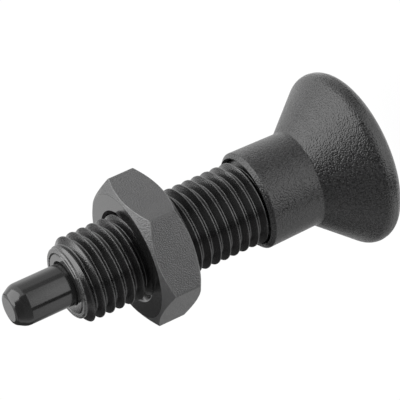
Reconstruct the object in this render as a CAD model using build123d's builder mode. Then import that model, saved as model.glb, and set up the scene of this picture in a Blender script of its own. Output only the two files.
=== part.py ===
from build123d import *
import os
from math import cos, pi, radians, sin, sqrt, tan

# Indexing plunger with a fully threaded guide body, a spring-loaded pin, a
# mushroom grip and a locknut. Millimetres. The frame stands on the centre of
# the grip's flat rear face, with +Z along the axis toward the tip of the pin.

# ---- driving dimensions ----

# guide body
thread_diameter = 12.0       # major diameter of the M12 fine thread
thread_pitch = 1.5
free_length = 28.2           # thread that shows between the grip and the front face
front_rim = 0.35             # flat left on the front face outside the bush's seat
rear_wall = 5.0              # wall that the spring bears on

# guide bush, pressed into the front of the body
bush_length = 6.0
bush_wall = 1.22
bush_step = 0.15             # radial step in the body that the bush seats on
bush_edge = 0.1              # chamfer on the bush's outer front edge
bush_mouth = 0.27            # chamfer at the mouth of the bush's bore
body_mouth = 0.2             # chamfer on the body round the bush

# index pin
pin_diameter = 6.0
pin_reach = 8.6              # how far the tip stands out of the front face
nose_length = 1.5
nose_step = 0.85             # radial step from the pin to the flat tip
collar_length = 2.0
stop_step = 0.8              # radial shoulder that meets the rear wall at full pull
barb_pitch = 1.2             # ring grooves that hold the stem in the grip
barb_depth = 0.3
barb_count = 2
barb_land = 0.8              # plain length between the last groove and the stem's end

# clearances
pin_clearance = 0.03         # pin in bush, radial
stem_clearance = 0.05        # stem in the body's rear wall, radial
collar_clearance = 0.1       # collar in the body's bore, radial
spring_clearance = 0.3       # spring to the bore round it and to the pin inside it
sleeve_clearance = 0.15      # grip sleeve over the thread, radial
end_clearance = 0.6          # grip cavity behind the body
nut_clearance = 0.05         # locknut over the thread, radial

# spring
wire_diameter = 0.7
active_coils = 5.5
closed_coils = 1.0           # closed and ground coils at each end
closed_gap = 0.05            # air between a closed coil and its neighbour
ramp_coils = 0.5             # turn over which the pitch opens
chords_per_turn = 16         # the coil is drawn in chords and the wire as an
wire_sides = 8               # octagon, which keeps a piece that nobody sees light

# grip
grip_length = 17.9           # rear face to the front of the sleeve
grip_diameter = 25.0
grip_base = 7.5              # solid plastic behind the cavity
rim_radius = 2.0             # rounding of the rim
flare_angle = 39.8           # half-angle of the flared cone
sleeve_wall = 0.85           # at the front of the sleeve
sleeve_chamfer = 0.55
sleeve_draft = 0.15          # radius lost between the chamfer and the flare
recess_diameter = 16.0       # shallow recess in the rear face
recess_depth = 0.5
stem_cover = 1.5             # plastic between the stem and the recess

# locknut
nut_across_flats = 18.7     # a 19 mm spanner fits it
nut_height = 6.0
nut_setback = 9.4            # front face of the body to the front face of the nut
nut_chamfer_angle = 33.0     # of the corner chamfers, from the end faces
nut_front_land = 8.95        # radius of the flat front face
nut_rear_land = 9.15         # radius of the flat rear face
nut_countersink = 0.5        # radial step of the thread's countersinks
nut_margin = 0.5             # by which the chamfer cones run out past the corners

# ---- stations along the axis ----

front_z = grip_length + free_length
tip_z = front_z + pin_reach
body_rear_z = grip_base + end_clearance
seat_z = body_rear_z + rear_wall
bush_rear_z = front_z - bush_length
collar_rear_z = bush_rear_z - collar_length
shoulder_z = seat_z + pin_reach
stem_end_z = recess_depth + stem_cover
nut_front_z = front_z - nut_setback
nut_rear_z = nut_front_z - nut_height
spring_length = collar_rear_z - seat_z
total_coils = active_coils + 2 * closed_coils

# ---- radii ----

thread_r = thread_diameter / 2
pin_r = pin_diameter / 2
bush_bore_r = pin_r + pin_clearance
bush_r = bush_bore_r + bush_wall
mouth_r = bush_r + body_mouth
lead_chamfer = min(0.8 * thread_pitch, thread_r - mouth_r - front_rim)
bore_r = bush_r - bush_step
collar_r = bore_r - collar_clearance
coil_r = bore_r - spring_clearance - wire_diameter / 2
shoulder_r = coil_r - wire_diameter / 2 - spring_clearance
stem_r = shoulder_r - stop_step
rear_bore_r = stem_r + stem_clearance
cavity_r = thread_r + sleeve_clearance
sleeve_r = cavity_r + sleeve_wall
grip_r = grip_diameter / 2
recess_r = recess_diameter / 2
nut_bore_r = thread_r + nut_clearance


def outline(points):
    """Face in the XZ plane inside a closed outline given as (radius, height)."""
    with BuildSketch(Plane.XZ) as face:
        with BuildLine():
            Polyline(*points, close=True)
        make_face()
    return face.sketch


def barbs():
    """Outline of the grooved stem end, from the foot of the grooves to the tip.

    Each groove narrows toward the tip and ends in a square step that faces
    the spring, so the stem can't pull out of the plastic moulded round it.
    """
    foot_z = stem_end_z + barb_land + barb_count * barb_pitch
    points = []
    for k in range(barb_count):
        start_z = foot_z - k * barb_pitch
        points.append((stem_r, start_z))
        points.append((stem_r - barb_depth, start_z - barb_pitch))
    points.append((stem_r, foot_z - barb_count * barb_pitch))
    points.append((stem_r, stem_end_z))
    return points


# ---- guide body: threaded sleeve, bored from the front ----

with BuildPart() as guide_body:
    revolve(outline([
        (rear_bore_r, body_rear_z),
        (thread_r - lead_chamfer, body_rear_z),
        (thread_r, body_rear_z + lead_chamfer),
        (thread_r, front_z - lead_chamfer),
        (thread_r - lead_chamfer, front_z),
        (mouth_r, front_z),
        (bush_r, front_z - body_mouth),
        (bush_r, bush_rear_z),
        (bore_r, bush_rear_z),
        (bore_r, seat_z),
        (rear_bore_r, seat_z),
    ]), axis=Axis.Z)

# ---- guide bush: ground bore for the pin, seated on the body's step ----

with BuildPart() as guide_bush:
    revolve(outline([
        (bush_bore_r, bush_rear_z),
        (bush_r, bush_rear_z),
        (bush_r, front_z - bush_edge),
        (bush_r - bush_edge, front_z),
        (bush_bore_r + bush_mouth, front_z),
        (bush_bore_r, front_z - bush_mouth),
    ]), axis=Axis.Z)

# ---- index pin: nose, ground pin, collar, spring guide and stem ----

with BuildPart() as index_pin:
    revolve(outline([
        (0, tip_z),
        (pin_r - nose_step, tip_z),
        (pin_r, tip_z - nose_length),
        (pin_r, bush_rear_z),
        (collar_r, bush_rear_z),
        (collar_r, collar_rear_z),
        (shoulder_r, collar_rear_z),
        (shoulder_r, shoulder_z),
        (stem_r, shoulder_z),
        *barbs(),
        (0, stem_end_z),
    ]), axis=Axis.Z)

# ---- spring: closed and ground compression coil between collar and rear wall ----


def opened(turn):
    """Turns spent at the open pitch up to a given turn, ramps counted by half."""
    x = min(max(turn - closed_coils, 0), active_coils)
    if x < ramp_coils:
        return x**2 / (2 * ramp_coils)
    if x < active_coils - ramp_coils:
        return x - ramp_coils / 2
    return active_coils - ramp_coils - (active_coils - x) ** 2 / (2 * ramp_coils)


def coil_height(turn):
    """Height of the wire's centreline over the seat: touching, open, touching."""
    closed_pitch = wire_diameter + closed_gap
    rise = spring_length + wire_diameter / 2
    extra = (rise - total_coils * closed_pitch) / opened(total_coils)
    return closed_pitch * turn + extra * opened(turn) - wire_diameter / 4


def coil_points():
    """Points along the wire's centreline, a fixed number to the turn."""
    count = round(total_coils * chords_per_turn)
    turns = [total_coils * i / count for i in range(count + 1)]
    return [
        (coil_r * cos(2 * pi * t), coil_r * sin(2 * pi * t), seat_z + coil_height(t))
        for t in turns
    ]


with BuildPart() as spring:
    with BuildLine() as wire_path:
        Polyline(*coil_points())
    with BuildSketch(Plane(wire_path.line @ 0, z_dir=wire_path.line % 0)):
        RegularPolygon(wire_diameter / 2, wire_sides)
    sweep(path=wire_path.line, transition=Transition.RIGHT)
    # both ends are ground flat where they bear on the wall and the collar
    with BuildSketch(Plane.XY.offset(seat_z)):
        Circle(bore_r)
    extrude(amount=spring_length, mode=Mode.INTERSECT)

# ---- grip: moulded in one piece, sleeve over the thread, flare and rim ----

flare_rise = radians(90 - flare_angle)
rim_corner_r = grip_r - rim_radius + rim_radius / tan(flare_rise / 2)
sleeve_front_z = grip_length
neck_r = sleeve_r - sleeve_draft
neck_z = (rim_corner_r - neck_r) * tan(flare_rise)

with BuildPart() as grip:
    with BuildSketch(Plane.XZ) as grip_outline:
        with BuildLine():
            Polyline(
                (0, recess_depth),
                (0, grip_base),
                (cavity_r, grip_base),
                (cavity_r, sleeve_front_z),
                (sleeve_r - sleeve_chamfer, sleeve_front_z),
                (sleeve_r, sleeve_front_z - sleeve_chamfer),
                (neck_r, neck_z),
                (rim_corner_r, 0),
                (recess_r, 0),
                (recess_r - recess_depth, recess_depth),
                close=True,
            )
        make_face()
        fillet(grip_outline.vertices().sort_by(Axis.X)[-1], rim_radius)
    revolve(axis=Axis.Z)
    revolve(
        outline([(0, stem_end_z), *reversed(barbs()), (stem_r, grip_base), (0, grip_base)]),
        axis=Axis.Z,
        mode=Mode.SUBTRACT,
    )

# ---- locknut: thin hexagon, chamfered on both sides ----

nut_reach = nut_across_flats / sqrt(3) + nut_margin
chamfer_slope = tan(radians(nut_chamfer_angle))

with BuildPart() as locknut:
    with BuildSketch(Plane.XY.offset(nut_rear_z)):
        RegularPolygon(nut_across_flats / 2, 6, major_radius=False)
    extrude(amount=nut_height)
    revolve(
        outline([
            (nut_bore_r + nut_countersink, nut_rear_z),
            (nut_rear_land, nut_rear_z),
            (nut_reach, nut_rear_z + (nut_reach - nut_rear_land) * chamfer_slope),
            (nut_reach, nut_front_z - (nut_reach - nut_front_land) * chamfer_slope),
            (nut_front_land, nut_front_z),
            (nut_bore_r + nut_countersink, nut_front_z),
            (nut_bore_r, nut_front_z - nut_countersink),
            (nut_bore_r, nut_rear_z + nut_countersink),
        ]),
        axis=Axis.Z,
        mode=Mode.INTERSECT,
    )

# ---- files ----

os.makedirs("parts", exist_ok=True)

guide_body.part.label = "guide_body"
export_step(guide_body.part, "parts/guide_body.step")

guide_bush.part.label = "guide_bush"
export_step(guide_bush.part, "parts/guide_bush.step")

index_pin.part.label = "index_pin"
export_step(index_pin.part, "parts/index_pin.step")

spring.part.label = "spring"
export_step(spring.part, "parts/spring.step")

grip.part.label = "grip"
export_step(grip.part, "parts/grip.step")

locknut.part.label = "locknut"
export_step(locknut.part, "parts/locknut.step")
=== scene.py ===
from math import cos, pi, radians, sin, tan

import bpy
import numpy as np
from bpy.props import FloatProperty, FloatVectorProperty, PointerProperty
from mathutils import Euler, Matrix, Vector


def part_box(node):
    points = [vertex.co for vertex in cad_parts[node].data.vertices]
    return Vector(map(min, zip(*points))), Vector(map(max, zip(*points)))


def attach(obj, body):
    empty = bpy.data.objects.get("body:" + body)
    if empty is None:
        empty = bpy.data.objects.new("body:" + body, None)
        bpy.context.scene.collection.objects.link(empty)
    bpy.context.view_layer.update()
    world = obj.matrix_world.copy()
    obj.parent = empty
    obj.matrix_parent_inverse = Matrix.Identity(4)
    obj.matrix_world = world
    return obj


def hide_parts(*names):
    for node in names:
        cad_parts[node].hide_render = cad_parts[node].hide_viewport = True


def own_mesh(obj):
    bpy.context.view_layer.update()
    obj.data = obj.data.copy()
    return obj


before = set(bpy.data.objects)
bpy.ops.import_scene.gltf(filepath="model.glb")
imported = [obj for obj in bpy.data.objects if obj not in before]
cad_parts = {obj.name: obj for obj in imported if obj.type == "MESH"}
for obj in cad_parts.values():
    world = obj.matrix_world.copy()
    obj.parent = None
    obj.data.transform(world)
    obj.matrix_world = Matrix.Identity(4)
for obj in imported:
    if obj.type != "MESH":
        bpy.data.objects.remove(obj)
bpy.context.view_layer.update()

# An indexing plunger stands on its grip with its axis on +Z and its pin up.
# The fine surfaces of its six pieces are worked out here round the CAD frame.

bl_info = {
    "name": "Indexing plunger",
    "version": (1, 0, 0),
    "blender": (4, 5, 0),
    "location": "3D View > Sidebar > Plunger",
    "description": "Builds the finished pieces of an indexing plunger in its CAD frame",
    "category": "Object",
}

BODY_LOW, BODY_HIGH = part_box("guide_body")
BUSH_LOW, BUSH_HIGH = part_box("guide_bush")
PIN_LOW, PIN_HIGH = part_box("index_pin")
GRIP_LOW, GRIP_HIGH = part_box("grip")
NUT_LOW, NUT_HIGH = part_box("locknut")
SPRING_LOW, SPRING_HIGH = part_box("spring")

# Room in metres between the helical surfaces and what they would otherwise cut.
BODY_CLIP_ROOM = 0.00001  # the body's end cones, outside its thread's root
NUT_CLIP_ROOM = 0.00014  # the nut's countersinks, outside the body's crest
NUT_SINK_ROOM = 0.00005  # where those countersinks are measured from
NUT_ROOT_ROOM = 0.0001  # the nut's root, outside the body's crest
NUT_CREST_ROOM = 0.00011  # the nut's crest, outside the body's root

FLAT_MARGIN = 3e-5  # how far beyond an arc the point stands that keeps a flat flat
JOIN_SCALE = 1e8  # parts of a metre: points that round to the same place are one
SAME_PLACE = 1e-6  # lengths along an outline that are nearer than this are one
FLANK = radians(30)  # of a metric thread, from square to its axis


# ---- settings that a user would change ----


def size(name, description, default):
    return FloatProperty(
        name=name, description=description, default=default, unit="LENGTH", precision=6
    )


def angle(name, description, degrees):
    return FloatProperty(
        name=name, description=description, default=radians(degrees), subtype="ANGLE"
    )


def colour(name, description, default):
    return FloatVectorProperty(
        name=name, description=description, default=default, subtype="COLOR",
        size=3, min=0.0, max=1.0,
    )


def amount(name, description, default):
    return FloatProperty(name=name, description=description, default=default, min=0.0)


class ThreadSettings(bpy.types.PropertyGroup):
    radius: size("Major radius", "Radius over the crests", BODY_HIGH.x)
    pitch: size("Pitch", "Distance from crest to crest", 0.0015)
    depth: size("Depth", "Crest to root, along the radius", 0.00096)
    crest: size("Crest width", "Width of the flat on the crest", 0.00014)
    crest_round: size("Crest rounding", "Radius of the crest's two edges", 0.00005)
    root_round: size("Root rounding", "Radius in the root's two corners", 0.00015)
    start: size("Start", "Height of one crest on the +X side", 0.00057)
    fit: size("Fit", "Radial room between the nut's flanks and the body's", 0.00006)


class BodySettings(bpy.types.PropertyGroup):
    lead: size("Lead chamfer", "Radius lost at both ends", 0.0011)
    ring: size("Lead ring", "Plain length before the thread at both ends", 0.0004)
    bore: size("Bore radius", "Spring chamber", 0.0041)
    seat: size("Spring seat", "Height of the wall that the spring bears on", 0.0131)
    rear_bore: size("Rear bore radius", "Hole for the stem", 0.00205)
    mouth: size("Mouth chamfer", "Chamfer round the bush", 0.0002)
    rounding: size("Edge rounding", "Radius on the turned edges", 0.00006)


class BushSettings(bpy.types.PropertyGroup):
    bore: size("Bore radius", "Hole for the pin", 0.00303)
    edge: size("Edge chamfer", "Chamfer on the outer front edge", 0.0001)
    mouth: size("Mouth chamfer", "Chamfer at the bore's mouth", 0.00027)
    rounding: size("Edge rounding", "Radius on the ground edges", 0.00004)


class PinSettings(bpy.types.PropertyGroup):
    radius: size("Pin radius", "Ground part that locates", 0.003)
    nose: size("Nose length", "Length of the nose cone", 0.0015)
    nose_step: size("Nose step", "Radial step from the pin to the tip", 0.00085)
    nose_round: size("Nose rounding", "Radius round the flat tip", 0.0007)
    nose_edge: size("Nose edge", "Radius where the nose cone begins", 0.002)
    collar: size("Collar length", "Length of the collar", 0.002)
    shoulder_radius: size("Spring guide radius", "Part inside the spring", 0.0028)
    shoulder: size("Shoulder height", "Where the stem begins", 0.0217)
    stem: size("Stem radius", "Rod through the rear wall", 0.002)
    barb_pitch: size("Groove pitch", "Distance between the stem's ring grooves", 0.0012)
    barb_depth: size("Groove depth", "Depth of the ring grooves", 0.0003)
    barb_land: size("End land", "Plain length behind the grooves", 0.0008)
    rounding: size("Edge rounding", "Radius on the turned edges", 0.00012)


class SpringSettings(bpy.types.PropertyGroup):
    wire: size("Wire diameter", "Diameter of the wire", 0.0007)
    coil: size("Coil radius", "Axis to the middle of the wire", 0.00345)
    active: FloatProperty(name="Active coils", description="Coils that give", default=5.5)
    closed: FloatProperty(name="Closed coils", description="At each end", default=1.0)
    gap: size("Closed gap", "Air between a closed coil and its neighbour", 0.00005)
    ramp: FloatProperty(name="Ramp", description="Turns for the pitch to open", default=0.5)


class GripSettings(bpy.types.PropertyGroup):
    rim_round: size("Rim radius", "Rounding of the rim", 0.002)
    rim_edge: angle("Rim edge", "Turn of the rim that is flat behind its widest line", 18.0)
    flare: angle("Flare half-angle", "Between the axis and the flare, at the rear", 39.8)
    sleeve: size("Sleeve radius", "Outside of the sleeve at its front", 0.007)
    draft: size("Sleeve draft", "Radius lost between the front and the neck", 0.00015)
    chamfer: size("Sleeve chamfer", "Chamfer on the sleeve's front", 0.00055)
    cavity: size("Cavity radius", "Room for the thread", 0.00615)
    mouth: size("Mouth chamfer", "Chamfer at the cavity's mouth", 0.00027)
    base: size("Base thickness", "Plastic behind the cavity", 0.0075)
    recess: size("Recess radius", "Shallow recess in the rear face", 0.008)
    recess_depth: size("Recess depth", "Depth of that recess", 0.0005)
    neck_round: size("Neck fillet", "Radius where sleeve and flare meet", 0.0004)
    rounding: size("Edge rounding", "Radius on the moulded edges", 0.00015)


class NutSettings(bpy.types.PropertyGroup):
    flats: size("Across flats", "Width over the flats", 0.0187)
    chamfer: angle("Chamfer angle", "Between the corner chamfers and the faces", 33.0)
    front_land: size("Front land", "Radius of the flat front face", 0.00895)
    rear_land: size("Rear land", "Radius of the flat rear face", 0.00915)
    countersink: size("Countersink", "Radial step of the countersinks", 0.00055)
    corner_round: size("Corner rounding", "Radius on the six corners", 0.0004)
    rounding: size("Edge rounding", "Radius on the other edges", 0.00008)


class FinishSettings(bpy.types.PropertyGroup):
    steel: colour("Blackened steel", "Guide body", (0.008, 0.008, 0.0082))
    nut_steel: colour("Nut steel", "Locknut", (0.06, 0.06, 0.061))
    bush_steel: colour("Ground steel", "Guide bush", (0.02, 0.02, 0.02))
    pin_steel: colour("Pin steel", "Hardened pin", (0.016, 0.016, 0.016))
    oxide: FloatProperty(name="Oxide's IOR", description="Of the black oxide", default=1.9)
    plastic: colour("Plastic", "Grip", (0.026, 0.026, 0.0264))
    wire: colour("Spring wire", "Spring", (0.30, 0.29, 0.28))
    grain: size("Plastic grain", "Size of the grain moulded into the grip", 0.00021)
    blast: size("Blasted grain", "Size of the grain on the nut's flats", 0.00017)


class StageSettings(bpy.types.PropertyGroup):
    azimuth: angle("Azimuth", "Camera's turn round the part", 14.5)
    elevation: angle("Elevation", "Camera's angle above the floor", 21.6)
    roll: angle("Roll", "Camera's turn about its own axis", 114.34)
    distance: size("Distance", "Camera to the middle of the part, in depth", 0.39783)
    aside: FloatProperty(name="Aside", description="Slope from the view's axis to that middle, "
                         "to the right", default=-0.0145)
    above: FloatProperty(name="Above", description="The same slope, upwards", default=-0.01428)
    lens: FloatProperty(name="Lens", description="Focal length", default=267.46, unit="CAMERA")
    floor: size("Floor", "Height of the floor, below the pulled grip", -0.0095)
    ambient: amount("Ambient", "Light from all round", 0.45)
    key: amount("Key light", "Strength of the softbox", 1.0)


# ---- surfaces ----


def rounded(corners, radii, steps=4, margin=FLAT_MARGIN):
    """Path in a plane with its corners rounded.

    Formula: each corner is replaced by a circular arc that touches both of its
    edges. Its centre lies on the bisector, radius / sin(half the corner's angle)
    away, and the arc starts radius / tan(half the angle) along each edge. One
    more point just beyond either end keeps the flats flat under smooth shading.
    The corners are (..., n, 2), and the first and last are kept as they are.
    Returns the path, (..., m, 2), and how much each point belongs to an edge.
    """
    corners = np.asarray(corners, float)
    here = corners[..., 1:-1, :]
    back = corners[..., :-2, :] - here
    ahead = corners[..., 2:, :] - here
    back /= np.linalg.norm(back, axis=-1, keepdims=True)
    ahead /= np.linalg.norm(ahead, axis=-1, keepdims=True)
    radii = np.broadcast_to(np.asarray(radii, float), here.shape[:-1])[..., None]
    half = 0.5 * np.arccos(np.clip((back * ahead).sum(-1, keepdims=True), -1, 1))
    reach = radii / np.tan(half)
    middle = here + (back + ahead) / (2 * np.cos(half)) * radii / np.sin(half)
    first = here + back * reach - middle
    corner = here - middle
    cross = first[..., 0:1] * corner[..., 1:2] - first[..., 1:2] * corner[..., 0:1]
    sweep = np.sign(cross) * (pi - 2 * half)
    turn = sweep * np.linspace(0, 1, steps + 1)
    arc = middle[..., None, :] + np.stack([
        first[..., 0:1] * np.cos(turn) - first[..., 1:2] * np.sin(turn),
        first[..., 0:1] * np.sin(turn) + first[..., 1:2] * np.cos(turn),
    ], axis=-1)
    some = radii > 0
    before = here + back * (reach + margin * some)
    after = here + ahead * (reach + margin * some)
    piece = np.concatenate([before[..., None, :], arc, after[..., None, :]], axis=-2)
    path = piece.reshape(*corners.shape[:-2], -1, 2)
    path = np.concatenate([corners[..., :1, :], path, corners[..., -1:, :]], axis=-2)
    on_edge = np.concatenate([[0], np.ones(steps + 1), [0]])
    weight = some[..., 0][..., None] * on_edge
    weight = weight.reshape(*corners.shape[:-2], -1)
    rim = np.zeros((*weight.shape[:-1], 1))
    return path, np.concatenate([rim, weight, rim], axis=-1)


def turns(columns=128):
    """Angles once round the axis, with the last on the first: whole steps of a turn."""
    return np.linspace(0, 2 * pi, columns + 1)


def helix_grid(r, z, angles):
    """Grid of rows given as radius and height at each angle: (r cos a, r sin a, z)."""
    last = np.isclose(angles, angles[0] + 2 * pi)
    around = np.where(last, angles[0], angles)
    return np.stack([r * np.cos(around), r * np.sin(around), z], axis=-1)


def turned(path, angles):
    """Grid of a path turned about the axis: radius r and height z at angle a go to
    (r cos a, r sin a, z). A path is (n, 2), or (angles, n, 2) where it differs round
    the axis."""
    path = np.broadcast_to(path, (len(angles), *path.shape[-2:]))
    return helix_grid(path[..., 0].T, path[..., 1].T, angles)


def thread_section(thread, gap=0.0):
    """One pitch of the thread as (place along the axis, radius), crest to crest.

    Formula: flanks at 30 degrees to the radius run from the crest's flat to the
    root's, and small arcs join them. With a gap the section is the nut's: its
    flanks stand off by that much along the radius, and its own crest is cut short.
    """
    slope = tan(FLANK)
    top = thread.radius + (gap and NUT_ROOT_ROOM)
    bottom = thread.radius - thread.depth + (gap and NUT_CREST_ROOM)
    flat = thread.crest / 2
    near = flat + (thread.radius + gap - top) * slope
    far = flat + (thread.radius + gap - bottom) * slope
    section, weight = rounded(
        [(0, top), (near, top), (far, bottom), (thread.pitch / 2, bottom)],
        [thread.crest_round, thread.root_round],
    )
    # weights on the crest's two edges: they lighten the crests as wear and as a painted
    # highlight
    crest_wear_and_highlight = weight * (section[:, 1] > (top + bottom) / 2)
    half = len(section) - 1
    mirror = np.stack([thread.pitch - section[:half][::-1, 0], section[:half][::-1, 1]], -1)
    section = np.concatenate([section, mirror[:-1]])
    crest_wear_and_highlight = np.concatenate([crest_wear_and_highlight, crest_wear_and_highlight[:half][::-1][:-1]])
    return section, crest_wear_and_highlight


def threaded(thread, angles, low, high, gap=0.0):
    """Helical surface between two heights, as radius and height for each row and angle.

    Formula: a row that is at height z on the +X side is at z + pitch * a / 2 pi at
    angle a. Rows that run past an end are held at its height, on the end's 45 degree
    cone, which cuts the thread to a radius of low[0] or high[0] there.
    """
    section, crest = thread_section(thread, gap)
    first = int(np.floor((low[1] - thread.start) / thread.pitch)) - 2
    last = int(np.ceil((high[1] - thread.start) / thread.pitch)) + 2
    count = np.arange(first, last)
    z = thread.start + thread.pitch * count[:, None] + section[:, 0]
    r = np.broadcast_to(section[:, 1], z.shape)
    crest = np.broadcast_to(crest, z.shape).reshape(-1)
    z = z.reshape(-1, 1) + thread.pitch * angles / (2 * pi)
    r = np.broadcast_to(r.reshape(-1, 1), z.shape)
    z = np.clip(z, low[1], high[1])
    if gap:
        r = np.maximum(r, np.maximum(low[0] - (z - low[1]), high[0] - (high[1] - z)))
    else:
        r = np.minimum(r, np.minimum(low[0] + (z - low[1]), high[0] + (high[1] - z)))
    used = (z > low[1]).any(1) & (z < high[1]).any(1)
    return r[used], z[used], crest[used]


def skin(name, grid, wear_and_highlight, body, node, material, sharp=32, faced=None):
    """Object whose surface runs through a grid of points.

    Formula: four neighbours on the grid make a face, taken so that it faces outward
    where the material lies left of the rows' course. Points that share a place are
    joined, which closes the seam and the poles, and faces without area are dropped.
    """
    rows, columns = grid.shape[:2]
    place = np.arange(rows * columns).reshape(rows, columns)
    corners = np.stack(
        [place[:-1, :-1], place[:-1, 1:], place[1:, 1:], place[1:, :-1]], axis=-1
    ).reshape(-1, 4)
    points = grid.reshape(-1, 3)
    wear_and_highlight = np.broadcast_to(wear_and_highlight if np.ndim(wear_and_highlight) == 2 else np.asarray(wear_and_highlight)[:, None],
                           (rows, columns)).reshape(-1)
    key = np.round(points * JOIN_SCALE).astype(np.int64)
    key, first, joined = np.unique(key, axis=0, return_index=True, return_inverse=True)
    corners = joined.reshape(-1)[corners]
    same = corners == np.roll(corners, -1, axis=1)
    quads = corners[same.sum(1) == 0]
    thin = same.sum(1) == 1
    triangles = corners[thin][~same[thin]].reshape(-1, 3)
    quads = quads[(quads[:, 0] != quads[:, 2]) & (quads[:, 1] != quads[:, 3])]
    loops = np.concatenate([quads.ravel(), triangles.ravel()])
    lengths = np.concatenate([np.full(len(quads), 4), np.full(len(triangles), 3)])
    starts = np.cumsum(lengths) - lengths

    mesh = bpy.data.meshes.new(name)
    mesh.vertices.add(len(first))
    mesh.vertices.foreach_set("co", points[first].astype(np.float32).ravel())
    mesh.loops.add(len(loops))
    mesh.loops.foreach_set("vertex_index", loops.astype(np.int32))
    mesh.polygons.add(len(starts))
    mesh.polygons.foreach_set("loop_start", starts.astype(np.int32))
    mesh.polygons.foreach_set("use_smooth", np.ones(len(starts), bool))
    mesh.update(calc_edges=True)
    mesh.validate()
    attribute = mesh.attributes.new("wear_and_highlight", "FLOAT", "POINT")
    attribute.data.foreach_set("value", wear_and_highlight[first].astype(np.float32))
    if faced is not None:
        faced = np.broadcast_to(np.asarray(faced, float)[:, None], (rows, columns)).reshape(-1)
        attribute = mesh.attributes.new("faced", "FLOAT", "POINT")
        attribute.data.foreach_set("value", faced[first].astype(np.float32))
    mesh.set_sharp_from_angle(angle=radians(sharp))
    mesh.materials.append(material)

    piece = bpy.data.objects.new(name, mesh)
    bpy.context.scene.collection.objects.link(piece)
    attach(piece, body)
    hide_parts(node)
    return piece


# ---- materials ----


def emptied(owner):
    """Nodes and links of a material or world, with none left in them."""
    owner.use_nodes = True
    owner.node_tree.nodes.clear()
    return owner.node_tree.nodes, owner.node_tree.links


def combined(nodes, links, operation, first, second):
    """Result of a Math node on one output and a second output or number."""
    node = nodes.new("ShaderNodeMath")
    node.operation = operation
    links.new(first, node.inputs[0])
    if isinstance(second, bpy.types.NodeSocket):
        links.new(second, node.inputs[1])
    else:
        node.inputs[1].default_value = second
    return node.outputs[0]


def marked(nodes, name):
    """Value that the mesh carries under that name."""
    mark = nodes.new("ShaderNodeAttribute")
    mark.attribute_name = name
    return mark.outputs["Fac"]


def node_group(name, inputs, outputs):
    """Empty shader node group with named sockets, and its input and output nodes."""
    group = bpy.data.node_groups.new(name, "ShaderNodeTree")
    for label, default in inputs:
        socket = group.interface.new_socket(label, in_out="INPUT", socket_type="NodeSocketFloat")
        socket.default_value = default
    for label in outputs:
        group.interface.new_socket(label, in_out="OUTPUT", socket_type="NodeSocketFloat")
    return group, group.nodes.new("NodeGroupInput"), group.nodes.new("NodeGroupOutput")


def grain_group():
    """Grain of a moulded or blasted surface: pits and bumps of two sizes in metres."""
    group, given, made = node_group("grain", [("Size", 0.0002)], ["Height", "Mottle"])
    nodes, links = group.nodes, group.links
    place = nodes.new("ShaderNodeTexCoord")
    scale = nodes.new("ShaderNodeMath")
    scale.operation = "DIVIDE"
    scale.inputs[0].default_value = 1.0
    links.new(given.outputs["Size"], scale.inputs[1])
    fine = nodes.new("ShaderNodeTexNoise")
    fine.inputs["Detail"].default_value = 0.6
    fine.inputs["Roughness"].default_value = 0.6
    links.new(place.outputs["Object"], fine.inputs["Vector"])
    links.new(scale.outputs[0], fine.inputs["Scale"])
    shaped = nodes.new("ShaderNodeMapRange")
    shaped.inputs["From Min"].default_value = 0.3
    shaped.inputs["From Max"].default_value = 0.7
    links.new(fine.outputs["Fac"], shaped.inputs["Value"])
    links.new(shaped.outputs["Result"], made.inputs["Height"])
    large = nodes.new("ShaderNodeTexNoise")
    large.inputs["Scale"].default_value = 420.0
    large.inputs["Detail"].default_value = 3.0
    links.new(place.outputs["Object"], large.inputs["Vector"])
    links.new(large.outputs["Fac"], made.inputs["Mottle"])
    return group


def edge_wear_and_highlight_group():
    """Wear and painted edge highlight along the edges: the mesh's own edge mark, broken up by
    noise.
    """
    group, _, made = node_group("edge_wear_and_highlight", [], ["Mask"])
    nodes, links = group.nodes, group.links
    place = nodes.new("ShaderNodeTexCoord")
    patchy = nodes.new("ShaderNodeTexNoise")
    patchy.inputs["Scale"].default_value = 900.0
    patchy.inputs["Detail"].default_value = 3.0
    links.new(place.outputs["Object"], patchy.inputs["Vector"])
    level = nodes.new("ShaderNodeMapRange")
    level.inputs["From Min"].default_value = 0.35
    level.inputs["From Max"].default_value = 0.65
    level.inputs["To Min"].default_value = 0.4
    links.new(patchy.outputs["Fac"], level.inputs["Value"])
    # the edge mark lightens edges and crests as wear and as a painted highlight along them
    broken = combined(nodes, links, "MULTIPLY", marked(nodes, "wear_and_highlight"), level.outputs["Result"])
    links.new(broken, made.inputs["Mask"])
    return group


def shared(name, make):
    """Node group of that name, made where it isn't there yet."""
    return bpy.data.node_groups.get(name) or make()


def material_base(name):
    """Material with a Principled BSDF, and the groups for grain and for edge wear with a painted
    edge highlight.
    """
    material = bpy.data.materials.new(name)
    nodes, links = emptied(material)
    out = nodes.new("ShaderNodeOutputMaterial")
    shader = nodes.new("ShaderNodeBsdfPrincipled")
    links.new(shader.outputs["BSDF"], out.inputs["Surface"])
    grain = nodes.new("ShaderNodeGroup")
    grain.name = "Grain"
    grain.node_tree = shared("grain", grain_group)
    wear_and_highlight = nodes.new("ShaderNodeGroup")
    wear_and_highlight.node_tree = shared("edge_wear_and_highlight", edge_wear_and_highlight_group)
    return material, nodes, links, shader, grain, wear_and_highlight


def mixed(nodes, links, factor, low, high):
    """Colour that goes from low to high as the factor goes from 0 to 1."""
    mix = nodes.new("ShaderNodeMix")
    mix.data_type = "RGBA"
    links.new(factor, mix.inputs["Factor"])
    mix.inputs["A"].default_value = (*low, 1)
    mix.inputs["B"].default_value = (*high, 1)
    return mix.outputs["Result"]


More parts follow.
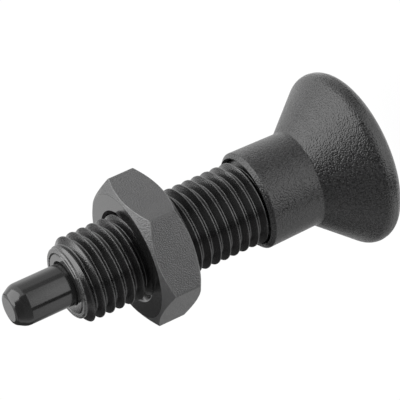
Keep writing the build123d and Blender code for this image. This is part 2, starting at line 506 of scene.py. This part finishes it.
def ranged(nodes, links, value, low, high, start=0.0, stop=1.0):
    """Value carried from start..stop to low..high."""
    level = nodes.new("ShaderNodeMapRange")
    level.inputs["From Min"].default_value = start
    level.inputs["From Max"].default_value = stop
    level.inputs["To Min"].default_value = low
    level.inputs["To Max"].default_value = high
    links.new(value, level.inputs["Value"])
    return level.outputs["Result"]


def finish_material(name, colour, grain_size, depth, roughness, spread, worn_and_highlight, metallic=0.0,
                    ior=1.5, speckle_and_pit_shade=("Mottle", 0.8, 1.2)):
    """Procedural finish: colour mottled, and lighter at its edges as wear and as a painted edge
    highlight, roughness that varies with the grain, and the grain as a bump of the given depth
    in metres. The speckle names the grain's output that sets the colour, and its darkest and
    lightest share: the Mottle output gives a random tone, and the Height output darkens the
    grain's pits as painted shade and lightens its tops."""
    material, nodes, links, shader, grain, wear_and_highlight = material_base(name)
    grain.inputs["Size"].default_value = grain_size
    colour = tuple(colour)
    label, dark, light = speckle_and_pit_shade
    # with the Height output this is a painted shade in the grain's pits
    mottled_and_pit_shade = mixed(nodes, links, grain.outputs[label],
                   tuple(dark * c for c in colour), tuple(light * c for c in colour))
    edge = nodes.new("ShaderNodeMix")
    edge.data_type = "RGBA"
    links.new(wear_and_highlight.outputs["Mask"], edge.inputs["Factor"])
    links.new(mottled_and_pit_shade, edge.inputs["A"])
    # colour of the worn edges, light enough to be a painted edge highlight too
    edge.inputs["B"].default_value = (*worn_and_highlight, 1)
    links.new(edge.outputs["Result"], shader.inputs["Base Color"])
    rough = ranged(nodes, links, grain.outputs["Height"], roughness - spread, roughness + spread)
    links.new(rough, shader.inputs["Roughness"])
    shader.inputs["Metallic"].default_value = metallic
    shader.inputs["IOR"].default_value = ior
    bump = nodes.new("ShaderNodeBump")
    bump.inputs["Distance"].default_value = depth
    links.new(grain.outputs["Height"], bump.inputs["Height"])
    links.new(bump.outputs["Normal"], shader.inputs["Normal"])
    return material


def face(material, socket, other):
    """Give a socket another value or output instead where the mesh is marked as faced."""
    nodes, links = material.node_tree.nodes, material.node_tree.links
    source = socket.links[0].from_socket
    mix = nodes.new("ShaderNodeMix")
    mix.data_type = "RGBA" if socket.type == "RGBA" else "FLOAT"
    links.new(marked(nodes, "faced"), mix.inputs["Factor"])
    links.new(source, mix.inputs["A"])
    if isinstance(other, bpy.types.NodeSocket):
        links.new(other, mix.inputs["B"])
    else:
        mix.inputs["B"].default_value = other
    links.new(mix.outputs["Result"], socket)


# ---- pieces ----


class PLUNGER_OT_guide_body(bpy.types.Operator):
    """Build the threaded guide body"""

    bl_idname = "plunger.guide_body"
    bl_label = "Guide body"

    def execute(self, context):
        scene = context.scene
        thread, body, finish = scene.plunger_thread, scene.plunger_body, scene.plunger_finish
        angles = turns(columns=96)
        low_z, high_z = BODY_LOW.z, BODY_HIGH.z
        bush_r, bush_rear = BUSH_HIGH.x, BUSH_LOW.z
        clip_r = thread.radius - thread.depth + BODY_CLIP_ROOM
        end_r = thread.radius - body.lead
        drop = body.ring
        middle = (body.seat + bush_rear) / 2
        e = body.rounding
        under, under_wear_and_highlight = rounded([
            (body.bore, middle), (body.bore, body.seat), (body.rear_bore, body.seat),
            (body.rear_bore, low_z), (end_r, low_z), (clip_r, low_z + clip_r - end_r),
            (clip_r, low_z + drop),
        ], [0, 0, e, e, e])
        over, over_wear_and_highlight = rounded([
            (clip_r, high_z - drop), (clip_r, high_z - clip_r + end_r), (end_r, high_z),
            (bush_r + body.mouth, high_z),
            (bush_r, high_z - body.mouth), (bush_r, bush_rear), (body.bore, bush_rear),
            (body.bore, middle),
        ], [e, e, e / 2, 0, 0, 0])
        r, z, crest = threaded(thread, angles, (clip_r, low_z + drop), (clip_r, high_z - drop))
        grid = np.concatenate([
            turned(under, angles), helix_grid(r, z, angles), turned(over, angles)
        ])
        faced = np.concatenate([under[:, 1] < low_z + drop, 0 * crest,
                                over[:, 1] > high_z - body.mouth - 2 * e])
        skin("guide_body_threaded", grid, np.concatenate([under_wear_and_highlight, crest, over_wear_and_highlight]),
             "guide", "guide_body", body_material(finish), faced=faced)
        return {"FINISHED"}


def body_material(finish):
    """Black oxide on the thread, and end cones with a lighter, speckled base colour."""
    material = finish_material(
        "blackened_steel", finish.steel, grain_size=0.00014, depth=1e-5, roughness=0.2,
        # thread crests and edges lighter as wear and as a painted highlight
        spread=0.05, worn_and_highlight=(0.05, 0.05, 0.05), ior=finish.oxide,
    )
    nodes, links = material.node_tree.nodes, material.node_tree.links
    speck = ranged(nodes, links, nodes["Grain"].outputs["Height"], low=0.02, high=0.13,
                   start=0.2, stop=0.9)
    face(material, nodes["Principled BSDF"].inputs["Base Color"], speck)
    return material


class PLUNGER_OT_guide_bush(bpy.types.Operator):
    """Build the ground bush in the front of the body"""

    bl_idname = "plunger.guide_bush"
    bl_label = "Guide bush"

    def execute(self, context):
        bush, finish = context.scene.plunger_bush, context.scene.plunger_finish
        low, high, outer = BUSH_LOW.z, BUSH_HIGH.z, BUSH_HIGH.x
        e = bush.rounding
        path, wear_and_highlight = rounded([
            (bush.bore, (low + high) / 2), (bush.bore, low), (outer, low),
            (outer, high - bush.edge), (outer - bush.edge, high),
            (bush.bore + bush.mouth, high), (bush.bore, high - bush.mouth),
            (bush.bore, (low + high) / 2),
        ], [0, 0, e / 2, e, e, e])
        material = finish_material(
            "ground_steel", finish.bush_steel, grain_size=0.00008, depth=0.5e-6,
            roughness=0.08, spread=0.03, worn_and_highlight=(0.1, 0.1, 0.1), ior=finish.oxide,
        )
        skin("guide_bush_ground", turned(path, turns()), wear_and_highlight, "guide",
             "guide_bush", material)
        return {"FINISHED"}


class PLUNGER_OT_index_pin(bpy.types.Operator):
    """Build the pin with its collar, spring guide and grooved stem"""

    bl_idname = "plunger.index_pin"
    bl_label = "Index pin"

    def execute(self, context):
        pin, finish = context.scene.plunger_pin, context.scene.plunger_finish
        tip, end, bush_rear = PIN_HIGH.z, PIN_LOW.z, BUSH_LOW.z
        collar_rear = bush_rear - pin.collar
        collar_r = PIN_HIGH.x
        e = pin.rounding
        path, wear_and_highlight = rounded([
            (0, end), *stem_grooves(pin, end), (pin.stem, pin.shoulder),
            (pin.shoulder_radius, pin.shoulder), (pin.shoulder_radius, collar_rear),
            (collar_r, collar_rear), (collar_r, bush_rear), (pin.radius, bush_rear),
            (pin.radius, tip - pin.nose), (pin.radius - pin.nose_step, tip), (0, tip),
        ], [0] * 6 + [0, e, 0, e, e, 0, pin.nose_edge, pin.nose_round])
        material = finish_material(
            "pin_steel", finish.pin_steel, grain_size=0.00006, depth=0.5e-6, roughness=0.13,
            spread=0.03, worn_and_highlight=(0.02, 0.02, 0.02), ior=1.72,
        )
        skin("index_pin_ground", turned(path, turns()), wear_and_highlight, "plunger",
             "index_pin", material)
        return {"FINISHED"}


def stem_grooves(pin, end):
    """Outline of the stem's end, from its tip to the foot of its two grooves."""
    first = end + pin.barb_land
    inner = pin.stem - pin.barb_depth
    return [
        (pin.stem, end), (pin.stem, first), (inner, first), (pin.stem, first + pin.barb_pitch),
        (inner, first + pin.barb_pitch), (pin.stem, first + 2 * pin.barb_pitch),
    ]


class PLUNGER_OT_spring(bpy.types.Operator):
    """Build the compression spring"""

    bl_idname = "plunger.spring"
    bl_label = "Spring"

    def execute(self, context):
        spring, finish = context.scene.plunger_spring, context.scene.plunger_finish
        low, high = SPRING_LOW.z, SPRING_HIGH.z
        total = spring.active + 2 * spring.closed
        steps, sides = 40, 16  # of a turn, and round the wire
        turn = np.linspace(0, total, int(total * steps) + 1)
        height = coil_height(spring, turn, high - low)
        a = 2 * pi * turn
        line = np.stack([spring.coil * np.cos(a), spring.coil * np.sin(a), low + height], -1)
        along = np.gradient(line, axis=0)
        along /= np.linalg.norm(along, axis=1, keepdims=True)
        outward = np.stack([np.cos(a), np.sin(a), 0 * a], -1)
        up = np.cross(along, outward)
        around = turns(sides)[:, None, None]
        ring = np.cos(around) * outward + np.sin(around) * up
        grid = line + spring.wire / 2 * ring
        grid[-1] = grid[0]
        ends = np.concatenate([[0.0], np.ones(len(turn)), [0.0]])[:, None]
        line = np.concatenate([line[:1], line, line[-1:]])
        grid = np.concatenate([grid[:, :1], grid, grid[:, -1:]], axis=1)
        grid = line + (grid - line) * ends
        grid[..., 2] = np.clip(grid[..., 2], low, high)
        material = finish_material(
            "spring_steel", finish.wire, grain_size=0.0001, depth=1e-6, roughness=0.25,
            spread=0.05, worn_and_highlight=(0.4, 0.4, 0.4), metallic=1.0,
        )
        wire = skin("spring_wire", grid, np.zeros(grid.shape[:2]), "turning_spring",
                    "spring", material, sharp=60)
        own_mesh(wire)
        return {"FINISHED"}


def coil_height(spring, turn, length):
    """Height of the wire's middle over the seat at a number of turns.

    Formula: the closed pitch times the turns, plus the remaining rise shared out by
    the turns spent at the open pitch, which opens and closes over the two ramps as a
    parabola. A quarter of the wire is ground off each end.
    """
    active, ramp = spring.active, spring.ramp

    def opened(x):
        x = np.clip(x - spring.closed, 0, active)
        middle = x - ramp / 2
        late = active - ramp - (active - x) ** 2 / (2 * ramp)
        return np.where(x < ramp, x**2 / (2 * ramp), np.where(x < active - ramp, middle, late))

    total = active + 2 * spring.closed
    pitch = spring.wire + spring.gap
    extra = (length + spring.wire / 2 - total * pitch) / opened(np.array(total))
    return pitch * turn + extra * opened(turn) - spring.wire / 4


class PLUNGER_OT_grip(bpy.types.Operator):
    """Build the moulded grip"""

    bl_idname = "plunger.grip"
    bl_label = "Grip"

    def execute(self, context):
        grip, pin = context.scene.plunger_grip, context.scene.plunger_pin
        finish = context.scene.plunger_finish
        front, outer, end = GRIP_HIGH.z, min(GRIP_HIGH.xy), PIN_LOW.z
        rise = pi / 2 - grip.flare
        corner = outer - grip.rim_round + grip.rim_round / tan(rise / 2)
        neck_r = grip.sleeve - grip.draft
        neck_z = (corner - neck_r) * tan(rise)
        e = grip.rounding
        outside, outside_wear_and_highlight = rounded([
            (0, grip.recess_depth), (grip.recess - grip.recess_depth, grip.recess_depth),
            (grip.recess, 0), (outer - 2 * grip.rim_round, 0),
        ], [e, e])
        centre = np.array([outer - grip.rim_round, grip.rim_round])
        rear = rim_arc(centre, grip.rim_round, -pi / 2, -grip.rim_edge, steps=8)
        wide = rim_arc(centre, grip.rim_round, 0, grip.flare, steps=12)
        flat = wide[0] - rear[-1]
        flat = flat * FLAT_MARGIN / np.linalg.norm(flat)
        neck, _ = rounded([wide[-1], (neck_r, neck_z), (grip.sleeve, front - grip.chamfer)],
                          [grip.neck_round], steps=20)
        rim = np.concatenate([rear, [rear[-1] + flat, wide[0] - flat], wide, neck[1:-1]])
        upper = 0.9  # share of the sleeve's length where its two paths meet
        inside, inside_wear_and_highlight = rounded([
            (neck_r + (grip.sleeve - neck_r) * upper,
             neck_z + (front - grip.chamfer - neck_z) * upper),
            (grip.sleeve, front - grip.chamfer), (grip.sleeve - grip.chamfer, front),
            (grip.cavity + grip.mouth, front), (grip.cavity, front - grip.mouth),
            (grip.cavity, grip.base), (pin.stem, grip.base), *stem_grooves(pin, end)[::-1],
            (0, end),
        ], [e, 0, 0, 0, 0, 0] + [0] * 6)
        path = np.concatenate([outside, rim, inside])
        wear_and_highlight = np.concatenate([outside_wear_and_highlight, np.zeros(len(rim)), inside_wear_and_highlight])
        material = finish_material(
            "grip_plastic", finish.plastic, grain_size=finish.grain, depth=4.2e-5,
            roughness=0.21, spread=0.05, worn_and_highlight=tuple(1.3 * c for c in finish.plastic),
            # colour set by the grain's height: darker in its pits as painted shade, lighter on
            # its tops
            ior=1.6, speckle_and_pit_shade=("Height", 0.4, 1.7),
        )
        skin("grip_moulded", turned(path, turns(columns=160)), wear_and_highlight, "plunger",
             "grip", material)
        return {"FINISHED"}


def rim_arc(centre, radius, start, stop, steps):
    """Arc from one angle to another: centre + radius (cos, sin)."""
    turn = np.linspace(start, stop, steps + 1)
    return centre + radius * np.stack([np.cos(turn), np.sin(turn)], -1)


class PLUNGER_OT_locknut(bpy.types.Operator):
    """Build the hexagon locknut with its thread"""

    bl_idname = "plunger.locknut"
    bl_label = "Locknut"

    def execute(self, context):
        nut, thread = context.scene.plunger_nut, context.scene.plunger_thread
        finish = context.scene.plunger_finish
        low, high = NUT_LOW.z, NUT_HIGH.z
        angles, reach = hexagon(nut.flats / 2, nut.corner_round, steps=22)
        slope = tan(nut.chamfer)
        e = nut.rounding
        sink_r = thread.radius + NUT_SINK_ROOM + nut.countersink
        clip_r = thread.radius + NUT_CLIP_ROOM
        blasted = 9  # rows over a flat and its chamfer, at either end of the grid
        drop = sink_r - clip_r

        def all_round(*corners):
            columns = [np.broadcast_to(np.stack(np.broadcast_arrays(*c), -1), (len(angles), 2))
                       for c in corners]
            return np.stack(columns, axis=1)

        top, top_wear_and_highlight = rounded(all_round(
            (reach, (low + high) / 2), (reach, high - (reach - nut.front_land) * slope),
            (nut.front_land, high), (sink_r, high), (clip_r, high - drop),
        ), [e, e, e])
        bottom, bottom_wear_and_highlight = rounded(all_round(
            (clip_r, low + drop), (sink_r, low), (nut.rear_land, low),
            (reach, low + (reach - nut.rear_land) * slope), (reach, (low + high) / 2),
        ), [e, e, e])
        r, z, crest = threaded(thread, angles, (clip_r, low + drop), (clip_r, high - drop),
                               gap=thread.fit)
        grid = np.concatenate([
            turned(top, angles), helix_grid(r, z, angles)[::-1], turned(bottom, angles)
        ])
        wear_and_highlight = np.concatenate([
            top_wear_and_highlight.T, np.broadcast_to(crest[::-1, None], z.shape), bottom_wear_and_highlight.T
        ])
        faced = np.ones(len(grid))
        faced[:blasted] = faced[-blasted:] = 0
        skin("locknut_blasted", grid, wear_and_highlight, "nut", "locknut", nut_material(finish),
             faced=faced)
        return {"FINISHED"}


def nut_material(finish):
    """Blasted flats and chamfers, and end faces that are turned smooth and glossier."""
    material = finish_material(
        "nut_steel", finish.nut_steel, grain_size=finish.blast, depth=4.2e-5,
        roughness=0.34, spread=0.06, worn_and_highlight=(0.2, 0.2, 0.2), ior=finish.oxide,
    # edges lighter, at 0.2, as wear and as a painted highlight between the flats
    )
    level = 0.5  # height of the grain where it is turned off
    nodes = material.node_tree.nodes
    shader = nodes["Principled BSDF"]
    face(material, shader.inputs["Roughness"], 0.13)
    face(material, shader.inputs["Base Color"], (0.012, 0.012, 0.012, 1))
    face(material, nodes["Bump"].inputs["Height"], level)
    return material


def hexagon(half, corner_round, steps):
    """Angles round a hexagon with rounded corners, and its radius at each.

    Formula: corners stand half / cos 30 degrees out, every 60 degrees from +X, and the
    outline starts and ends in the middle of a flat. Long flats are divided evenly.
    """
    out = half / cos(radians(30))
    a = radians(60) * np.arange(6)
    mid = half * np.array([[cos(radians(-30)), sin(radians(-30))]])
    corners = np.concatenate([mid, out * np.stack([np.cos(a), np.sin(a)], -1), mid])
    path, _ = rounded(corners, corner_round)
    length = np.concatenate([[0], np.cumsum(np.linalg.norm(np.diff(path, axis=0), axis=1))])
    at = np.unique(np.concatenate([length, np.linspace(0, length[-1], 6 * steps + 1)]))
    at = at[np.concatenate([[True], np.diff(at) > SAME_PLACE])]
    x, y = np.interp(at, length, path[:, 0]), np.interp(at, length, path[:, 1])
    angles = np.unwrap(np.arctan2(y, x))
    angles[-1] = angles[0] + 2 * pi
    return angles, np.hypot(x, y)


# ---- stage ----


class PLUNGER_OT_stage(bpy.types.Operator):
    """Set up the camera, the floor, the lights and the white surroundings"""

    bl_idname = "plunger.stage"
    bl_label = "Stage"

    def execute(self, context):
        stage = context.scene.plunger_stage
        make_camera(context.scene, stage)
        make_floor(context.scene, stage)
        make_world(context.scene, stage)
        make_lamps(context.scene, stage)
        make_cards(context.scene, stage)
        context.scene.view_settings.view_transform = "Standard"
        return {"FINISHED"}


MIDDLE_POINT = (0, 0, 0.028)  # that the lamps and the cards stand round
CAMERA_AIM = Vector((0, 0, 0.03195))
FLOOR_RADIUS = 2.0
PAPER = 0.85  # how much light the floor gives back
GLOW = 1.04  # how bright the floor is by itself
GLOW_SHARE = 0.93  # of the floor's look, where a ray sees it outright
CURTAIN_TURN = (38, 46)  # degrees of elevation from a curtain's tone to its upper tone
TABLE_RINGS = (0.016, 0.175, 0.2, 0.5)  # metres from the axis
TABLE_NEAR = 0.18  # the rings inside this have the near tones
TABLE_LIFT = 0.0002  # of the table's card above the floor


def direction(a, e):
    """Unit vector towards an azimuth and an elevation."""
    return Vector((sin(a) * cos(e), -cos(a) * cos(e), sin(e)))


def seen_outright(nodes, links):
    """1 for a ray that looks straight, in a gloss or through glass, and 0 for one that
    only brings light."""
    path = nodes.new("ShaderNodeLightPath")
    seen = path.outputs["Is Camera Ray"]
    for kind in ("Is Glossy Ray", "Is Transmission Ray"):
        seen = combined(nodes, links, "MAXIMUM", seen, path.outputs[kind])
    return seen


def make_camera(scene, stage):
    data = bpy.data.cameras.new("camera")
    data.lens = stage.lens
    data.sensor_width = 36.0
    data.clip_start, data.clip_end = 0.01, 10.0
    camera = bpy.data.objects.new("camera", data)
    back = direction(stage.azimuth, stage.elevation)
    upright = (-back).to_track_quat("-Z", "Y")
    turned_camera = upright @ Euler((0, 0, -stage.roll)).to_quaternion()
    right, up = turned_camera @ Vector((1, 0, 0)), turned_camera @ Vector((0, 1, 0))
    camera.rotation_mode = "QUATERNION"
    camera.rotation_quaternion = turned_camera
    offset = back - stage.aside * right - stage.above * up
    camera.location = CAMERA_AIM + stage.distance * offset
    scene.collection.objects.link(camera)
    scene.camera = camera


def make_floor(scene, stage):
    a = turns(columns=64)[:-1]
    x, y = FLOOR_RADIUS * np.cos(a), FLOOR_RADIUS * np.sin(a)
    points = np.stack([x, y, np.full(len(a), stage.floor)], -1)
    mesh = bpy.data.meshes.new("floor")
    mesh.from_pydata(points.tolist(), [], [list(range(len(a)))])
    material = bpy.data.materials.new("floor_paper")
    nodes, links = emptied(material)
    out = nodes.new("ShaderNodeOutputMaterial")
    paper = nodes.new("ShaderNodeBsdfDiffuse")
    paper.inputs["Color"].default_value = (PAPER, PAPER, PAPER, 1)
    glow = nodes.new("ShaderNodeEmission")
    glow.inputs["Color"].default_value = (1, 1, 1, 1)
    glow.inputs["Strength"].default_value = GLOW
    white = combined(nodes, links, "MULTIPLY", seen_outright(nodes, links), GLOW_SHARE)
    mix = nodes.new("ShaderNodeMixShader")
    links.new(white, mix.inputs["Fac"])
    links.new(paper.outputs[0], mix.inputs[1])
    links.new(glow.outputs[0], mix.inputs[2])
    under = nodes.new("ShaderNodeNewGeometry")
    clear = nodes.new("ShaderNodeBsdfTransparent")
    side = nodes.new("ShaderNodeMixShader")
    links.new(under.outputs["Backfacing"], side.inputs["Fac"])
    links.new(mix.outputs[0], side.inputs[1])
    links.new(clear.outputs[0], side.inputs[2])
    links.new(side.outputs[0], out.inputs["Surface"])
    mesh.materials.append(material)
    floor = bpy.data.objects.new("floor", mesh)
    scene.collection.objects.link(floor)


def make_world(scene, stage):
    world = bpy.data.worlds.new("white_surroundings")
    nodes, links = emptied(world)
    out = nodes.new("ShaderNodeOutputWorld")
    background = nodes.new("ShaderNodeBackground")
    background.inputs["Color"].default_value = (1, 1, 1, 1)
    level = ranged(nodes, links, seen_outright(nodes, links), low=stage.ambient, high=1.0)
    links.new(level, background.inputs["Strength"])
    links.new(background.outputs[0], out.inputs["Surface"])
    scene.world = world


LAMPS = [
    # name, azimuth, elevation, distance (m), width (m), height (m), radiance
    ("softbox_key", 97, 52, 0.6, 0.8, 0.75, 1.7),
    ("softbox_fill", -5, 0, 0.6, 0.6, 0.6, 0.8),
]

CURTAINS = [
    # name, distance (m), azimuths, and at each of them the foot's and the top's
    # elevation, the lower tone and the upper: parts of a sphere
    ("dark_curtain", 0.2, (-163.4, -130, -112, -105, -94, -86, -70, 14, 26, 52),
     (-10.3,) * 10, (86, 86, 86, 86, 86, 86, 86, 84, 62, 38),
     (0.07, 0.07, 0.07, 0.5, 0.5, 0.3, 0.2, 0.07, 0.07, 0.07),
     (0.4, 0.4, 0.4, 0.25, 0.1, 0.07, 0.07, 0.07, 0.07, 0.07)),
    ("dark_wing", 0.2, (148, 158, 168, 176), (46, 30, 17, 10), (56, 42, 30, 20),
     (0.2,) * 4, (0.2,) * 4),
    ("backdrop_top", 0.2, (178, 196.6), (26.2, 26.2), (48, 48), (0.64,) * 2, (0.64,) * 2),
]

# How bright the table looks in the gloss, by azimuth in degrees, and how much of
# that is left on its outer rings.
TABLE_TONE = [
    (-180, 0.6), (-165, 0.55), (-145, 0.55), (-128, 0.55), (-112, 0.35), (-95, 0.5),
    (-70, 0.8), (-47, 0.9), (-43, 0.85), (-41, 0.03), (-25, 0.03), (-22, 1.4), (13, 1.5),
    (35, 1.2), (50, 1.1), (57, 0.3), (77, 0.3), (82, 0.65), (110, 0.65), (140, 1.15),
    (160, 0.9), (180, 0.6),
]
TABLE_FAR = [(-180, 1.0), (-165, 1.0), (-152, 0.1), (-112, 0.1), (-100, 1.0), (180, 1.0)]


def make_lamps(scene, stage):
    for name, azimuth, elevation, distance, width, height, level in LAMPS:
        data = bpy.data.lights.new(name, "AREA")
        data.shape = "RECTANGLE"
        data.size, data.size_y = width, height
        data.energy = level * stage.key * pi * width * height
        lamp = bpy.data.objects.new(name, data)
        back = direction(radians(azimuth), radians(elevation))
        lamp.location = Vector(MIDDLE_POINT) + distance * back
        lamp.rotation_mode = "QUATERNION"
        lamp.rotation_quaternion = (-back).to_track_quat("-Z", "Y")
        lamp.visible_camera = False
        lamp.visible_glossy = name != "softbox_fill"
        scene.collection.objects.link(lamp)


def make_cards(scene, stage):
    """Tones of the studio that only the plunger's gloss shows: dark curtains round
    the side away from the softbox, and the table.

    Formula: a curtain runs over azimuth a and elevation e at one distance d from the
    plunger's middle m, (d sin a cos e, -d cos a cos e, m + d sin e). The table runs
    over azimuth and distance at the floor's height.
    """
    t = np.linspace(0, 1, 41)
    for name, distance, at, foot, top, tone, upper in CURTAINS:
        a = (at[0] + (at[-1] - at[0]) * t)[:, None]
        low, high = np.interp(a, at, foot), np.interp(a, at, top)
        e = np.radians(low + (high - low) * t[None, :])
        share = np.interp(e, np.radians(CURTAIN_TURN), [0, 1])
        tone = np.interp(a, at, tone)
        grey = tone + (np.interp(a, at, upper) - tone) * share
        a = np.radians(a)
        x, y, z = np.sin(a) * np.cos(e), -np.cos(a) * np.cos(e), np.sin(e)
        grid = distance * np.stack([x, y, z], -1) + MIDDLE_POINT
        place_card(scene, name, grid, grey)
    a = np.linspace(-180, 180, 361)[:, None]
    r = np.array(TABLE_RINGS)[None, :]
    far = np.interp(a, *np.transpose(TABLE_FAR))
    grey = np.interp(a, *np.transpose(TABLE_TONE)) * np.where(r < TABLE_NEAR, 1.0, far)
    a = np.radians(a)
    height = stage.floor + TABLE_LIFT + 0 * a * r
    grid = np.stack([r * np.sin(a), -r * np.cos(a), height], -1)
    place_card(scene, "table_tone", grid, grey)


def place_card(scene, name, grid, grey):
    """Card that runs through a grid of points, glows in those greys, and is met by no
    rays but those of a gloss."""
    place = np.arange(grid.shape[0] * grid.shape[1]).reshape(grid.shape[:2])
    faces = np.stack([place[:-1, :-1], place[1:, :-1], place[1:, 1:], place[:-1, 1:]], -1)
    mesh = bpy.data.meshes.new(name)
    mesh.from_pydata(grid.reshape(-1, 3).tolist(), [], faces.reshape(-1, 4).tolist())
    tone = mesh.attributes.new("grey", "FLOAT", "POINT")
    tone.data.foreach_set("value", grey.astype(np.float32).ravel())
    material = bpy.data.materials.new(name)
    nodes, links = emptied(material)
    out = nodes.new("ShaderNodeOutputMaterial")
    glow = nodes.new("ShaderNodeEmission")
    links.new(marked(nodes, "grey"), glow.inputs["Color"])
    links.new(glow.outputs[0], out.inputs["Surface"])
    mesh.materials.append(material)
    card = bpy.data.objects.new(name, mesh)
    card.visible_camera = card.visible_diffuse = card.visible_shadow = False
    card.visible_transmission = card.visible_volume_scatter = False
    scene.collection.objects.link(card)


# ---- panel and registration ----

SETTINGS = {
    "plunger_thread": ThreadSettings,
    "plunger_body": BodySettings,
    "plunger_bush": BushSettings,
    "plunger_pin": PinSettings,
    "plunger_spring": SpringSettings,
    "plunger_grip": GripSettings,
    "plunger_nut": NutSettings,
    "plunger_finish": FinishSettings,
    "plunger_stage": StageSettings,
}

OPERATORS = [
    PLUNGER_OT_guide_body,
    PLUNGER_OT_guide_bush,
    PLUNGER_OT_index_pin,
    PLUNGER_OT_spring,
    PLUNGER_OT_grip,
    PLUNGER_OT_locknut,
    PLUNGER_OT_stage,
]


class PLUNGER_PT_panel(bpy.types.Panel):
    bl_label = "Indexing plunger"
    bl_idname = "PLUNGER_PT_panel"
    bl_space_type = "VIEW_3D"
    bl_region_type = "UI"
    bl_category = "Plunger"

    def draw(self, context):
        for operator in OPERATORS:
            self.layout.operator(operator.bl_idname)


def register():
    for group in SETTINGS.values():
        bpy.utils.register_class(group)
    for name, group in SETTINGS.items():
        setattr(bpy.types.Scene, name, PointerProperty(type=group))
    for operator in OPERATORS:
        bpy.utils.register_class(operator)
    bpy.utils.register_class(PLUNGER_PT_panel)


def unregister():
    bpy.utils.unregister_class(PLUNGER_PT_panel)
    for operator in reversed(OPERATORS):
        bpy.utils.unregister_class(operator)
    for name in SETTINGS:
        delattr(bpy.types.Scene, name)
    for group in reversed(list(SETTINGS.values())):
        bpy.utils.unregister_class(group)


def main():
    register()
    bpy.ops.plunger.guide_body()
    bpy.ops.plunger.guide_bush()
    bpy.ops.plunger.index_pin()
    bpy.ops.plunger.spring()
    bpy.ops.plunger.grip()
    bpy.ops.plunger.locknut()
    bpy.ops.plunger.stage()


if __name__ == "__main__":
    main()
